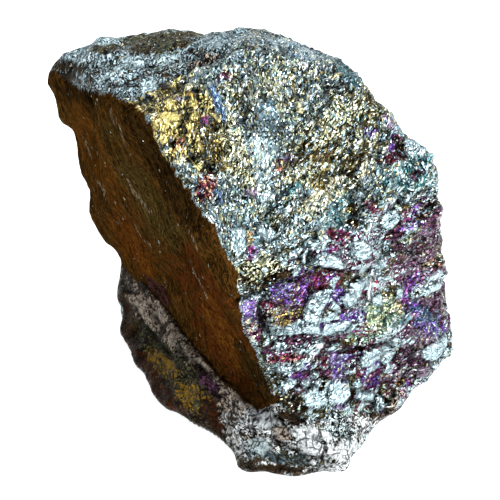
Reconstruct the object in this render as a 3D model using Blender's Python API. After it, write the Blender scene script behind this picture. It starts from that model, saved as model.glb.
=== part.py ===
"""A hand specimen of tarnished bornite ore with a foot of vein quartz, at its real size.

The stone is one solid, built in the order in which such a stone comes about: a block of ore with
a few large flat fractures, grown onto a foot of quartz, then a skin of smaller fractures, hollows
and notches, and last the flat patch that it rests on.

Lengths below are in millimetres, and become metres where a mesh is made. +Z is up and -Y is the
near side. The origin is under the middle of the stone, on the surface that it rests on.
"""

import bmesh
import bpy
import numpy as np
from mathutils import Vector, noise

MM = 0.001

# Corners of the ore block: where its flat fractures meet.
ORE_CORNERS = {
    # the high end on the left, around the grey upper face
    "crown_left": (-35, 27.5, 38.5),
    "crown_left_back": (-33, 28, 43.5),
    "crown_back_left": (-25.5, 30.5, 46.5),
    "crown_back": (-13, 31, 47),
    "crest_back": (-1.5, 28, 49.5),
    "crest_back_right": (6.5, 25.5, 48.5),
    "crest": (1, 12, 53.5),
    "crest_right": (9.5, 14, 51.5),
    # the ridge between the dark left face and the bright face
    "ridge_head": (-21.5, 7.5, 46.5),
    "ridge_top": (-15.5, -0.5, 48.5),
    "ridge_middle": (-5, -12.5, 36.5),
    "ridge_low": (-1.5, -18.5, 25.5),
    "ridge_foot": (-1, -20, 20.5),
    "ridge_end": (4, -26, 12.5),
    # round the bright face, from its upper right down to its toe
    "shoulder_high": (13.5, 13.5, 49),
    "shoulder_middle": (25, 8.5, 42),
    "shoulder_low": (30.5, 5, 36.5),
    "right_high": (31.5, 7, 24),
    "right_middle": (33, -1, 14),
    "right_low": (34.5, -6, 7),
    "right_toe": (28.5, -14, 3.5),
    "toe": (15.5, -25.5, 2.5),
    # the lower edge of the dark left face
    "left_waist": (-31, 20.5, 13),
    "left_low": (-24.5, 14, 8),
    # the far side, which goes down past the resting surface
    "back_right_high": (19, 23, 38),
    "back_right_low": (26, 16, -3),
    "back_high": (2, 29, 38),
    "back_low": (2, 27, -3),
    "back_left_low": (-18, 24, -3),
    "back_left_high": (-27, 30, 33),
}

# Outline of the quartz foot where it meets the resting surface.
FOOT_OUTLINE = {
    "left": (-25, 9),
    "left_middle": (-23.5, -1.5),
    "left_near": (-16.5, -9.5),
    "near_left": (-5.5, -16),
    "near": (-1, -28),
    "nose": (6.5, -29.5),
    "near_right": (14.5, -28),
    "right_near": (19.5, -20),
    "right": (25.5, -13),
    "right_far": (29, -2),
    "back_right": (24, 12),
    "back_left": (-17, 20),
}

# Where the foot reaches up under the ore and out from below it.
FOOT_TOP = {
    "left_high": (-25, 13, 7.5),
    "left_ledge": (-17, -1, 8.5),
    "middle_ledge": (-11, -7.5, 6.5),
    "near_high": (1, -24.5, 8.5),
    "near_right_high": (14, -27.5, 6),
    "right_high": (24, -6, 5),
}
FOOT_BELOW = 3.0  # the foot starts this much too deep, so that the resting cut is a clean one

# Hollows and swellings: centre, radius and depth, which is below zero for a swelling.
HOLLOWS = {
    "hollow_by_the_ridge": ((3, -17, 24), 1.8, 1.8),
    "notch_in_the_crest": ((-7, 30, 48), 3.5, 1.5),
    "notch_in_the_crown": ((-23.5, 31, 46), 3.0, 1.0),
    "left_hollow": ((-33.5, 25.5, 26), 5.0, 0.4),
    "swelling_of_the_crown": ((-31, 29, 44), 4.0, -0.8),
    "back_hollow": ((-8, 29, 22), 9.0, 2.0),
    "back_swelling": ((14, 24, 20), 8.0, -1.2),
}

# Systems of small fractures, each a patchwork of shallow bowls: width of a bowl, and its depth.
FRACTURES = ((11.0, 2.6), (5.0, 1.0))
BOWL_LEVELS = 0.5  # how far neighbouring bowls differ in level, as a share of their depth
BOWL_MIDDLE = 0.22  # the share of its depth at which a bowl's face lies on average
CELL_SPREAD = 7.3  # sets neighbouring centres far enough apart for levels of their own

BLOCK_GRID = 0.8  # spacing of the even points that the small fractures are worked out on
SKIN_GRID = 0.6  # spacing of the points of the finished skin, before the flat parts are thinned
KEPT_SHARE = 0.1  # of the triangles of the skin, those that the shape needs
CUTTER_SIZE = 200.0


def clear_scene():
    for old in list(bpy.data.objects):
        bpy.data.objects.remove(old)


def ore_material():
    """Tarnished copper-iron sulphide, taken as one finish for the whole solid."""
    material = bpy.data.materials.new("tarnished_bornite")
    material.use_nodes = True
    shader = material.node_tree.nodes["Principled BSDF"]
    shader.inputs["Base Color"].default_value = (0.22, 0.19, 0.17, 1)
    shader.inputs["Roughness"].default_value = 0.45
    shader.inputs["Metallic"].default_value = 0.7
    return material


def hull(name, corners):
    """The convex solid round these corners, which are in millimetres."""
    solid = bmesh.new()
    for corner in corners:
        solid.verts.new(Vector(corner) * MM)
    made = bmesh.ops.convex_hull(solid, input=solid.verts)
    unused = {item for key in ("geom_interior", "geom_unused") for item in made[key]}
    bmesh.ops.delete(
        solid, geom=[item for item in unused if isinstance(item, bmesh.types.BMVert)]
    )
    bmesh.ops.recalc_face_normals(solid, faces=solid.faces)
    mesh = bpy.data.meshes.new(name)
    solid.to_mesh(mesh)
    solid.free()
    block = bpy.data.objects.new(name, mesh)
    bpy.context.scene.collection.objects.link(block)
    return block


def helper(block):
    """The same object, marked as one that only shapes another."""
    block.hide_render = True
    block.display_type = "WIRE"
    return block


def quartz_foot():
    outline = [(x, y, z) for x, y in FOOT_OUTLINE.values() for z in (0, -FOOT_BELOW)]
    return helper(hull("quartz_foot", outline + list(FOOT_TOP.values())))


def evaluated_mesh(block):
    """A new mesh of the block's finished shape."""
    graph = bpy.context.evaluated_depsgraph_get()
    return bpy.data.meshes.new_from_object(block.evaluated_get(graph))


def fracture_height(point, width, depth):
    """Height of one system of fractures at a point: the lowest of the bowls near it.

    A bowl is the square of the distance from its centre, raised by a level of its own. Two
    neighbours meet in a sharp rim, as shell-like fractures do.
    """
    distances, centres = noise.voronoi(point / width)
    bowls = [
        distance**2 + BOWL_LEVELS * noise.cell(centre * CELL_SPREAD)
        for distance, centre in zip(distances, centres)
    ]
    return depth * (min(bowls) - BOWL_MIDDLE)


def relief(point):
    """Height of the broken surface over the plain block at a point, in millimetres."""
    height = sum(fracture_height(point, *system) for system in FRACTURES)
    for centre, radius, depth in HOLLOWS.values():
        distance = (point - Vector(centre)).length
        height -= depth * np.exp(-((distance / radius) ** 2))
    return height


def roughen(mesh):
    """Moves each point of the plain block along its normal by the relief."""
    moved = [
        vertex.co + vertex.normal * relief(vertex.co / MM) * MM
        for vertex in mesh.vertices
    ]
    mesh.vertices.foreach_set("co", np.array(moved, np.float32).ravel())
    mesh.update()


def middle_on_origin(mesh):
    """Shifts the mesh sideways, so that the origin is under the middle of its box."""
    points = np.empty(len(mesh.vertices) * 3, np.float32)
    mesh.vertices.foreach_get("co", points)
    points = points.reshape(-1, 3)
    above = points[points[:, 2] >= 0]
    middle = (above.min(0) + above.max(0)) / 2
    points[:, :2] -= middle[:2]
    mesh.vertices.foreach_set("co", points.ravel())
    mesh.update()


def resting_cutter():
    """A slab whose top is the resting surface."""
    bpy.ops.mesh.primitive_cube_add(
        size=CUTTER_SIZE * MM, location=(0, 0, -CUTTER_SIZE / 2 * MM)
    )
    cutter = bpy.context.object
    cutter.name = "resting_surface"
    return helper(cutter)


def broken_stone():
    """The mesh of the ore and the foot grown together, with its small fractures."""
    ore = hull("ore_block", ORE_CORNERS.values())
    grown = ore.modifiers.new("grown onto the foot", "BOOLEAN")
    grown.operation = "UNION"
    grown.solver = "EXACT"
    grown.object = quartz_foot()
    even = ore.modifiers.new("even points", "REMESH")
    even.mode = "VOXEL"
    even.voxel_size = BLOCK_GRID * MM

    mesh = evaluated_mesh(ore)
    roughen(mesh)
    middle_on_origin(mesh)
    for block in (ore, grown.object):
        bpy.data.objects.remove(block)
    return mesh


def specimen():
    """The whole stone: its broken shape under one closed skin, thinned, then cut flat below."""
    mesh = broken_stone()
    mesh.materials.append(ore_material())
    mesh.shade_smooth()
    stone = bpy.data.objects.new("bornite_specimen", mesh)
    bpy.context.scene.collection.objects.link(stone)
    skin = stone.modifiers.new("one closed skin", "REMESH")
    skin.mode = "VOXEL"
    skin.voxel_size = SKIN_GRID * MM
    thinned = stone.modifiers.new("fewer faces", "DECIMATE")
    thinned.ratio = KEPT_SHARE
    thinned.use_collapse_triangulate = True
    flat = stone.modifiers.new("resting face", "BOOLEAN")
    flat.operation = "DIFFERENCE"
    flat.solver = "EXACT"
    flat.object = resting_cutter()


def main():
    clear_scene()
    specimen()


main()
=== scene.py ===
# %% [markdown]
# # A hand specimen of tarnished bornite on vein quartz
#
# The stone is one broken lump. Its near face is bare copper-iron sulphide, which tarnishes in
# air to gold, crimson, violet and blue. Its left face is an old joint, stained brown by iron.
# Its upper end wears a grey crust, and it stands on a foot of milky quartz.
#
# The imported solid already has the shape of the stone, with faces of a millimetre or two. This
# script lays a much finer skin over that solid, breaks the skin into plates and grains, and
# gives each part of it the finish of the mineral that shows there.

import math

import bmesh
import bpy
import numpy as np
from mathutils import Matrix


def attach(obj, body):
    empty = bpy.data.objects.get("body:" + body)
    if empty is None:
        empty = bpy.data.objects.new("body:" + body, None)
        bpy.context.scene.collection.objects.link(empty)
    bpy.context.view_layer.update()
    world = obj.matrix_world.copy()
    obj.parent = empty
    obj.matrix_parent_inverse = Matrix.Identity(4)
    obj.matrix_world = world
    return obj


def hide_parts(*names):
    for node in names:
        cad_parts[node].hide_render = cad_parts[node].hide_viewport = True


MM = 0.001
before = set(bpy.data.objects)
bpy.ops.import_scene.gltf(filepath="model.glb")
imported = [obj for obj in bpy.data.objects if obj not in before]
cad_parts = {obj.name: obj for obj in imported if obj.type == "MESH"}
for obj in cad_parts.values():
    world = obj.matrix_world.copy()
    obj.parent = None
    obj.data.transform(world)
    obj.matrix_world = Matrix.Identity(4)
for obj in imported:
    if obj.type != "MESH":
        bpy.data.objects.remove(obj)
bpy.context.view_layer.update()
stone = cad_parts["bornite_specimen"]

# %% [markdown]
# ## The camera
#
# The photograph looks down on the stone from close by, so near corners look larger than far
# ones. A camera could be turned until the picture fits by eye. Here its place comes from its
# distance, its drop below level and the point it aims at, because the same three values also
# tell where any point of the stone falls in the picture.

# %% Camera
AIM = np.array([0.35, -0.25, 21.6])  # mm
CAMERA_DISTANCE = 162.0  # mm
CAMERA_DROP = math.radians(40)
LENS = 70.0
SENSOR = 36.0
PICTURE = 500  # pixels

LOOK = np.array([0, math.cos(CAMERA_DROP), -math.sin(CAMERA_DROP)])
ACROSS = np.array([1.0, 0, 0])
UPWARDS = np.array([0, math.sin(CAMERA_DROP), math.cos(CAMERA_DROP)])
EYE = AIM - CAMERA_DISTANCE * LOOK

camera = bpy.data.objects.new("camera", bpy.data.cameras.new("camera"))
bpy.context.scene.collection.objects.link(camera)
camera.location = EYE * MM
camera.rotation_euler = (math.pi / 2 - CAMERA_DROP, 0, 0)
camera.data.lens = LENS
camera.data.sensor_width = SENSOR
camera.data.clip_start = 0.01
bpy.context.scene.camera = camera


def picture_place(points):
    """Where points in millimetres fall in the picture, in pixels from its upper left corner.

    Each point's distances across and upwards from the line of sight are divided by its
    distance along it, and multiplied by the lens length in pixels.
    """
    from_eye = points - EYE
    scale = LENS / SENSOR * PICTURE / (from_eye @ LOOK)
    across = PICTURE / 2 + scale * (from_eye @ ACROSS)
    down = PICTURE / 2 - scale * (from_eye @ UPWARDS)
    return np.stack([across, down], axis=-1)


print("the aim falls at pixel", np.round(picture_place(AIM[None])[0], 1))

# %% [markdown]
# ## A fine skin over the solid
#
# Broken stone needs detail all over, also at its sides and back. Subdividing the solid would
# keep its uneven triangles. A ball of six square grids has even cells and no poles, so it is
# shrunk onto the solid from outside, along lines to its middle. The middle lies low and to the
# right, because from there the lines meet also the foot and the left face squarely, and a line
# that grazes a face leaves long thin cells on it. The grids are drawn towards the near side
# first, because the finest detail is there.

# %% Ball of six grids
GRID_SIDE = 128  # cells along a grid: six such grids are 196,608 triangles
NEARWARD = 0.3  # how strongly the grids are drawn towards the near side
BALL_MIDDLE = np.array([6.0, 4.0, 10.0])  # mm
BALL_RADIUS = 60.0  # mm


def ball_of_grids(side):
    """Directions and quads of a ball made of six square grids that share their edges.

    On a grid both parameters run from -45 to 45 degrees, and their tangents are the distances
    across a face of a cube, which makes the cells nearly equal on the ball.
    """
    steps = np.tan(np.linspace(-1, 1, side + 1) * math.pi / 4)
    u, v = np.meshgrid(steps, steps, indexing="ij")
    x, y, z = np.eye(3)
    faces = [(x, y, z), (y, x, -z), (y, z, x), (z, y, -x), (z, x, y), (x, z, -y)]
    grids = [u[..., None] * a + v[..., None] * b + c for a, b, c in faces]
    points = np.concatenate([grid.reshape(-1, 3) for grid in grids])
    corner = np.arange((side + 1) ** 2).reshape(side + 1, side + 1)
    around = [corner[:-1, :-1], corner[1:, :-1], corner[1:, 1:], corner[:-1, 1:]]
    quads = np.stack(around, axis=-1).reshape(-1, 4)
    quads = np.concatenate([quads + face * (side + 1) ** 2 for face in range(6)])
    shared, place = np.unique(np.round(points, 9), axis=0, return_inverse=True)
    directions = shared / np.linalg.norm(shared, axis=1, keepdims=True)
    return directions, place.reshape(-1)[quads]


directions, quads = ball_of_grids(GRID_SIDE)
directions = directions - NEARWARD * LOOK
directions /= np.linalg.norm(directions, axis=1, keepdims=True)
print("the ball has", len(directions), "points and", len(quads), "quads")

# %% Shrink the ball onto the solid


def new_object(name, points, faces):
    """A mesh object from points in millimetres and faces, at the origin."""
    mesh = bpy.data.meshes.new(name)
    mesh.from_pydata(points * MM, [], faces)
    made = bpy.data.objects.new(name, mesh)
    bpy.context.scene.collection.objects.link(made)
    return made


def shape_of(block):
    """The points of an object after its modifiers, in millimetres."""
    shape = block.evaluated_get(bpy.context.evaluated_depsgraph_get()).data
    points = np.empty(len(shape.vertices) * 3, np.float32)
    shape.vertices.foreach_get("co", points)
    return points.reshape(-1, 3).astype(float) / MM


merged = bmesh.new()
merged.from_mesh(stone.data)
bmesh.ops.remove_doubles(merged, verts=merged.verts, dist=0.001 * MM)
solid_mesh = bpy.data.meshes.new("merged_solid")
merged.to_mesh(solid_mesh)
merged.free()
solid = bpy.data.objects.new("merged_solid", solid_mesh)
bpy.context.scene.collection.objects.link(solid)

skin = new_object("stone_skin", BALL_MIDDLE + BALL_RADIUS * directions, quads)
shrink = skin.modifiers.new("onto the solid", "SHRINKWRAP")
shrink.wrap_method = "PROJECT"
shrink.use_negative_direction = True
shrink.use_positive_direction = False
shrink.target = solid
bpy.context.view_layer.update()
points = shape_of(skin)
radius = np.linalg.norm(points - BALL_MIDDLE, axis=1)
print("points left on the ball:", int((radius > BALL_RADIUS - 0.01).sum()))

# %% [markdown]
# ## Even cells
#
# Where the stone's surface runs nearly along the lines from the ball's middle, as under the
# ledge at the left, the shrunk cells are long and thin. Letting every point drift towards its
# neighbours and putting it back onto the solid, a few times, makes the cells even again.

# %% Even out the cells
EVENING_TURNS = 8
EVENING_ROUNDS = 8
EASING_ROUNDS = 4
RESTING_BAND = 0.3  # mm above the resting surface, where the skin stays flat


def eased(values, rounds, share=0.5):
    """Values on the skin after each has moved towards the mean of its neighbours' values.

    Each round, a value becomes (1 - share) times itself plus share times that mean.
    """
    start, end = quads.ravel(), np.roll(quads, -1, axis=1).ravel()
    columns = values.reshape(len(values), -1).T
    count = np.bincount(start, minlength=len(values)) + np.bincount(end, minlength=len(values))
    for _ in range(rounds):
        sums = [
            np.bincount(start, column[end], len(values))
            + np.bincount(end, column[start], len(values))
            for column in columns
        ]
        columns = (1 - share) * columns + share * np.array(sums) / count
    return columns.T.reshape(values.shape)


def place_skin(points):
    """Puts points in millimetres into the skin's mesh."""
    skin.data.vertices.foreach_set("co", (points * MM).astype(np.float32).ravel())
    skin.data.update()


def step(low, high, value):
    """0 below low, 1 above high, and a smooth rise between them: t * t * (3 - 2 * t)."""
    t = np.clip((value - low) / (high - low), 0, 1)
    return t * t * (3 - 2 * t)


shrink.wrap_method = "NEAREST_SURFACEPOINT"
for _ in range(EVENING_TURNS):
    place_skin(eased(points, EVENING_ROUNDS))
    bpy.context.view_layer.update()
    points = shape_of(skin)
skin.modifiers.remove(shrink)
bpy.data.objects.remove(solid)
spacing = np.linalg.norm(points[quads[:, 1]] - points[quads[:, 0]], axis=1)
print("spacing of the skin, in mm:", np.round(np.percentile(spacing, [1, 50, 99]), 2))

# %% Ease the facets of the solid


def normals_of(points):
    """Outward normals of the skin: the sum of each quad's normal, the cross of its diagonals."""
    a, b, c, d = (points[quads[:, corner]] for corner in range(4))
    crosses = np.repeat(np.cross(c - a, d - b), 4, axis=0)
    sums = [np.bincount(quads.ravel(), axis, len(points)) for axis in crosses.T]
    return np.array(sums).T / np.linalg.norm(sums, axis=0)[:, None]


resting = points[:, 2] < RESTING_BAND
soft = eased(points, EASING_ROUNDS)
soft[resting] = points[resting]
normals = eased(normals_of(soft), 3)
normals /= np.linalg.norm(normals, axis=1, keepdims=True)
print("the eased skin spans, in mm:", np.round(np.ptp(soft, axis=0), 1))

# %% [markdown]
# ## Small corrections to the outline
#
# Laid over the photograph, the solid's outline is a millimetre or more off in a few places.
# The skin is pushed out or drawn in there, under round bumps placed in the picture. Each bump
# is highest in its middle and fades like a bell.

# %% Swellings
# Pixels across and down, radius in pixels, and height in mm, below zero where it is drawn in.
SWELLINGS = {
    "left tip": (52, 82, 12, 0.8),
    "under the left end": (66, 116, 17, 2.3),
    "left side": (84, 176, 22, 0.8),
    "lower left side": (93, 208, 12, 0.8),
    "left waist": (107, 238, 12, 0.7),
    "left bulge of the foot": (116, 312, 16, -1.6),
    "left side of the foot": (136, 366, 24, 3.0),
    "lower left side of the foot": (160, 398, 18, 1.2),
    "nose": (242, 466, 14, 2.4),
    "near edge": (290, 466, 34, 0.7),
    "top of the crown": (166, 33, 16, 1.2),
    "dip of the crown": (125, 38, 10, -1.1),
    "left end of the crown": (98, 40, 10, 1.0),
    "dip by the crest": (206, 34, 7, -0.3),
    "top of the crest": (240, 30, 18, 0.6),
    "behind the crest": (276, 36, 9, -0.8),
    "right of the crest": (338, 60, 10, 0.6),
    "above the shoulder": (392, 116, 14, 0.6),
    "shoulder": (430, 155, 10, 0.7),
    "under the shoulder": (438, 210, 14, 1.2),
    "right edge": (446, 252, 12, -1.1),
    "below the right edge": (449, 294, 18, -0.6),
    "lower right edge": (446, 352, 12, 0.6),
    "toe": (396, 406, 13, 1.3),
    "right of the toe": (432, 376, 14, 0.8),
    "right end of the quartz": (368, 436, 9, -1.0),
}

spot = picture_place(soft)
for across, down, reach, height in SWELLINGS.values():
    distance = np.linalg.norm(spot - (across, down), axis=1)
    soft += normals * (height * np.exp(-((distance / reach) ** 2)))[:, None]
soft[resting] = points[resting]
print("the swollen skin spans, in mm:", np.round(np.ptp(soft, axis=0), 1))

# %% [markdown]
# ## Noise, clouds and grains
#
# Stone is irregular at every size, but the script has to give the same stone each time. So
# nothing is drawn at random: a number for each cell of space is mixed from the cell's own whole
# numbers. Clouds blend such numbers smoothly. Grains give each point the nearest of many
# scattered centres, which is how crystals share out the space that they grow in.

# %% Clouds


def chance(cells, seed):
    """A number from 0 to 1 for each cell, mixed from its three whole numbers and the seed.

    The whole numbers are multiplied by large odd ones and added, and then shifted and
    multiplied again until neighbours have nothing in common.
    """
    x, y, z = np.moveaxis(cells.astype(np.int64).astype(np.uint64), -1, 0)
    mixed = x * np.uint64(73856093) + y * np.uint64(19349663) + z * np.uint64(83492791)
    mixed = mixed + np.full_like(mixed, 2654435761 * (seed + 1))
    for factor in (0xFF51AFD7ED558CCD, 0xC4CEB9FE1A85EC53):
        mixed = (mixed ^ (mixed >> np.uint64(33))) * np.uint64(factor)
    return (mixed ^ (mixed >> np.uint64(33))).astype(float) / 2.0**64


def cloud(places, seed):
    """Smooth noise from -1 to 1: the numbers at a cell's eight corners, blended smoothly."""
    cell = np.floor(places)
    share = step(0, 1, places - cell)
    total = np.zeros(places.shape[:-1])
    for corner in np.ndindex(2, 2, 2):
        weight = np.prod(np.where(corner, share, 1 - share), axis=-1)
        total += weight * chance(cell + corner, seed)
    return 2 * total - 1


def clouds(places, size, seed, layers=4):
    """Layers of smooth noise, each half as large and half as strong as the one before it."""
    scales = [size / 2**layer for layer in range(layers)]
    return sum(
        cloud(places / scale, seed + layer) / 2**layer for layer, scale in enumerate(scales)
    )


ground_noise = clouds(soft, 6.0, 1)
print("clouds run from", round(ground_noise.min(), 2), "to", round(ground_noise.max(), 2))

# %% Grains


def axes(along, outward):
    """Three directions at right angles: the grain's long way, its width, and its outward one."""
    outward = np.array(outward) / np.linalg.norm(outward)
    width = np.cross(outward, along)
    width /= np.linalg.norm(width)
    return np.array([np.cross(width, outward), width, outward])


def grains(places, turn, sizes, seed):
    """The grain that each place is in: its cell, the way from its centre, and the wall's distance.

    Places are turned to the grain's axes and divided by its sizes. Each cell of that space has
    one centre, and a place belongs to the nearest. The wall lies midway to the next centre.
    """
    local = places @ turn.T / sizes
    home = np.floor(local)
    around = [home + (np.array(offset) - 1) for offset in np.ndindex(3, 3, 3)]
    middles = [
        cell + np.stack([chance(cell, seed + axis) for axis in range(3)], axis=-1)
        for cell in around
    ]
    distances = np.array([((middle - local) ** 2).sum(-1) for middle in middles])
    nearest = distances.argmin(axis=0)
    rows = np.arange(len(places))
    cell = np.array(around)[nearest, rows]
    centre = np.array(middles)[nearest, rows]
    wall = np.full(len(places), 9.0)
    for middle in middles:
        way = middle - centre
        length = np.linalg.norm(way, axis=-1)
        other = length > 1e-6
        gap = ((middle + centre) / 2 - local) * way
        wall[other] = np.minimum(wall[other], gap[other].sum(-1) / length[other])
    return cell, (local - centre) * sizes, wall * min(sizes)


def facets(grain, level, tilt, seed):
    """Height of broken faces: each grain has a level of its own, and leans its own way."""
    cell, offset, _ = grain
    height = level * (2 * chance(cell, seed) - 1)
    for axis in range(2):
        height += tilt * (2 * chance(cell, seed + 1 + axis) - 1) * offset[:, axis]
    return height


def wall_line(grain, width):
    """1 on the walls between grains, falling like a bell over a width in mm."""
    return np.exp(-((grain[2] / width) ** 2))


# The long way of the grain, and the way that the face looks, on three parts of the stone.
LOWER_GRAIN = axes((0.72, 0.68, 0.12), (0.52, -0.65, 0.56))
UPPER_GRAIN = axes((0.43, 0.79, 0.45), (0.30, -0.59, 0.75))
LEFT_GRAIN = axes((0.36, -0.47, -0.80), (-0.81, -0.58, -0.02))
print("the grain of the lower part runs along", np.round(LOWER_GRAIN[0], 2))

# %% [markdown]
# ## Which mineral shows where
#
# The edges between the dark left face, the grey crown, the quartz foot and the bright near face
# are plain in the photograph. So they are drawn as outlines in the picture, for the points that
# face the camera. Points that face away follow rules in space: what looks left is stained by
# iron, what looks up is crust, the lowest few millimetres are quartz, and the rest is ore.

# %% Outlines in the picture
# Pixels. Outside the stone the outlines run on as far as they need to close.
RIDGE = [(115, 95), (146, 112), (160, 150), (175, 172), (201, 213), (216, 227)]
RIDGE += [(226, 254), (236, 268), (238, 295), (244, 339), (261, 371), (276, 405)]
CREASE = [(257, 412), (215, 375), (190, 345), (165, 310), (118, 262)]
CROWN_EDGE = [(250, 28), (222, 50), (190, 68), (146, 92), (115, 95), (80, 88), (48, 70)]
FRONT_FOOT_EDGE = [(276, 405), (300, 421), (330, 424), (352, 415), (385, 412), (500, 412)]

LEFT_FACE = [(0, 60), (48, 70), (80, 88)] + RIDGE + CREASE + [(0, 262)]
CROWN = [(0, 0), (252, 0)] + CROWN_EDGE + [(0, 60)]
FOOT = [(0, 262)] + CREASE[::-1] + FRONT_FOOT_EDGE + [(500, 500), (0, 500)]


def line_distance(places, line):
    """The least distance from each place to a line of several straight stretches."""
    distance = np.full(len(places), 1e9)
    for start, end in zip(line, line[1:]):
        start, side = np.array(start, float), np.subtract(end, start)
        along = np.clip((places - start) @ side / (side @ side), 0, 1)
        nearest = start + along[:, None] * side
        distance = np.minimum(distance, np.linalg.norm(places - nearest, axis=1))
    return distance


def inside_by(places, outline):
    """How many pixels each place lies inside a closed outline; below zero is outside.

    The distance is the least one to any side. A place is inside if a level line from it
    crosses an odd number of sides.
    """
    distance = line_distance(places, outline + outline[:1])
    odd = np.zeros(len(places), bool)
    for start, end in zip(outline, outline[1:] + outline[:1]):
        start, side = np.array(start, float), np.subtract(end, start)
        below = places[:, 1] < (start + side)[1]
        spans = (places[:, 1] < start[1]) != below
        crossing = start[0] + (places[:, 1] - start[1]) * side[0] / (side[1] or 1e-9)
        odd ^= spans & (places[:, 0] < crossing)
    return np.where(odd, distance, -distance)


seen = picture_place(soft)
facing = step(-0.02, 0.12, ((EYE - soft) * normals).sum(1) / np.linalg.norm(EYE - soft, axis=1))
ragged = 2.5 * clouds(soft, 2.0, 11)
print("points that face the camera:", int((facing > 0.5).sum()))

# %% Zones
FOOT_HEIGHT = 5.0  # mm, at the sides that the camera doesn't see
broad = eased(normals, 30)
broad /= np.linalg.norm(broad, axis=1, keepdims=True)
rough_z = soft[:, 2] + 1.5 * clouds(soft, 5.0, 21)
rough_left = -broad[:, 0] + 0.2 * ground_noise
rough_up = broad[:, 2] + 0.2 * ground_noise
rough_back = broad[:, 1] + 0.12 * clouds(soft, 9.0, 31, 6)

hidden = {
    "left": 12 * np.minimum(np.maximum(rough_left - 0.35, rough_back - 0.75), 1),
    "crown": np.minimum(12 * (rough_up - 0.45), 2 * (rough_z - 36)),
    "foot": 2 * (FOOT_HEIGHT - rough_z),
}
drawn = {"left": LEFT_FACE, "crown": CROWN, "foot": FOOT}
zones = {}
for name, outline in drawn.items():
    in_picture = inside_by(seen, outline) + ragged
    zones[name] = facing * in_picture + (1 - facing) * np.clip(2 * hidden[name], -30, 30)
zones["left"] = np.minimum(zones["left"], -zones["foot"])
zones["crown"] = np.minimum(zones["crown"], -zones["left"])
others = np.maximum.reduce([zones["left"], zones["crown"], zones["foot"]])
zones["front"] = -others - 2.5 * facing * np.abs(ragged)  # so none of it shows between two others
weights = {name: step(-4, 4, value) for name, value in zones.items()}
for name, value in zones.items():
    print(name, "covers", round(100 * (value > 0).mean()), "% of the points")

# %% [markdown]
# ## Plates and grains
#
# Bornite breaks unevenly, but this lump was sheared, so its face is a pavement of long plates
# that stand out from hollows full of small grains. A plate or grain is one crystal, with its
# own level and its own lean. The upper and the lower part of the face were sheared in
# different directions, the left face was rubbed up and down, and the quartz has no direction.

# %% Plates and grains
# Way of the grain, and the sizes of a plate and of a small grain along that way, across it and
# through it, in mm.
GRAINS = {
    "lower": (LOWER_GRAIN, (5.5, 2.0, 3.0), (1.4, 0.7, 1.0)),
    "upper": (UPPER_GRAIN, (3.9, 1.4, 2.1), (1.2, 0.6, 0.9)),
    "left": (LEFT_GRAIN, (3.0, 1.2, 1.5), (0.9, 0.4, 0.5)),
    "even": (np.eye(3), (2.2, 1.8, 1.8), (0.6, 0.5, 0.5)),
    "gold": (UPPER_GRAIN, (3.6, 1.8, 2.1), (1.9, 1.0, 1.3)),
}
GOLD_PLACE = (186, 130, 54, 38, -48)  # an ellipse in the picture, as the patches below are

edge_noise = clouds(soft, 3.0, 41)
bend = np.stack([clouds(soft, 4.0, seed, 4) for seed in (51, 61, 71)], axis=-1)
bent = soft + 0.9 * bend
on_left = zones["left"] > 0
on_foot = zones["foot"] > 0
upper = seen[:, 1] + 0.35 * (seen[:, 0] - 300) + 12 * edge_noise < 230
kind_of = np.where(upper, 1, 0)
kind_of[on_left] = 2
kind_of[on_foot | (zones["crown"] > 0)] = 3


def patch_cover(x, y, half_length, half_width, turn):
    """1 in the middle of an ellipse in the picture and 0 outside it, with a ragged edge."""
    angle = math.radians(turn)
    along = (seen - (x, y)) @ (math.cos(angle), -math.sin(angle))
    aside = (seen - (x, y)) @ (math.sin(angle), math.cos(angle))
    radius = np.hypot(along / half_length, aside / half_width)
    return facing * step(1.4, 0.6, radius + 0.35 * edge_noise)


in_gold = (patch_cover(*GOLD_PLACE) > 0.5) & (zones["front"] > 0)
kind_of[in_gold] = 4


def mixed_grains(size, seed):
    """The grain that each place is in, taken from the kind of grain that this place has."""
    sets = [grains(bent, row[0], row[size], seed + kind) for kind, row in enumerate(GRAINS.values())]
    rows = np.arange(len(soft))
    return [np.array(part)[kind_of, rows] for part in zip(*sets)]


plates = mixed_grains(1, 81)
small = mixed_grains(2, 101)
print("points within 0.2 mm of a plate's wall:", int((plates[2] < 0.2).sum()))

# %% [markdown]
# ## How the colours are spread
#
# A tarnish film is thinnest on fresh breaks and grows in the hollows, where damp stays. Its
# colour depends on its thickness: gold, brown, crimson, violet, blue, and at last a thick film
# that looks silvery. Each patch below names the colour of what stands out, the colour of the
# hollows between, the share of the patch that is hollow, and how rough its grains are. Large
# patches come first and smaller ones go over them. A patch takes whole grains, so patches mix
# at their edges grain by grain and never fade into each other.

# %% Colours of the minerals
COLOURS = {
    "silver": "#BAD2D8",
    "steel": "#97AEB6",
    "slate": "#4E5F66",
    "sky": "#86AABF",
    "cream": "#EDE6BE",
    "straw": "#DCDCAE",
    "pale gold": "#F0DC8C",
    "gold": "#C4983C",
    "old gold": "#8A7A48",
    "olive": "#50482A",
    "olive brown": "#3F3216",
    "moss": "#504E34",
    "dark": "#1B1510",
    "copper": "#8E6450",
    "crimson": "#722D44",
    "plum": "#5C3850",
    "magenta": "#80386F",
    "violet": "#63418F",
    "lilac": "#A497C6",
    "mauve": "#776A78",
    "blue": "#6883A8",
    "teal": "#5B9398",
    "green": "#7C9A84",
    # Where they colour the left face, these rusts and browns, and the olive brown above, are iron stain
    # darkened for the shade that face lies in: partly painted shade.
    "rust": "#432B0F",
    "orange rust": "#4E2F0D",
    "red rust": "#45230B",
    "brown": "#30210C",
    "umber": "#1D1307",
    "ochre": "#8A671C",
    "bone": "#AFA090",
    "smoke": "#4A3D2D",
    "dust": "#6E6250",
    "dark plum": "#37201F",
    "milk": "#EEF3F3",
    "ice": "#BFD0D2",
}


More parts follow.
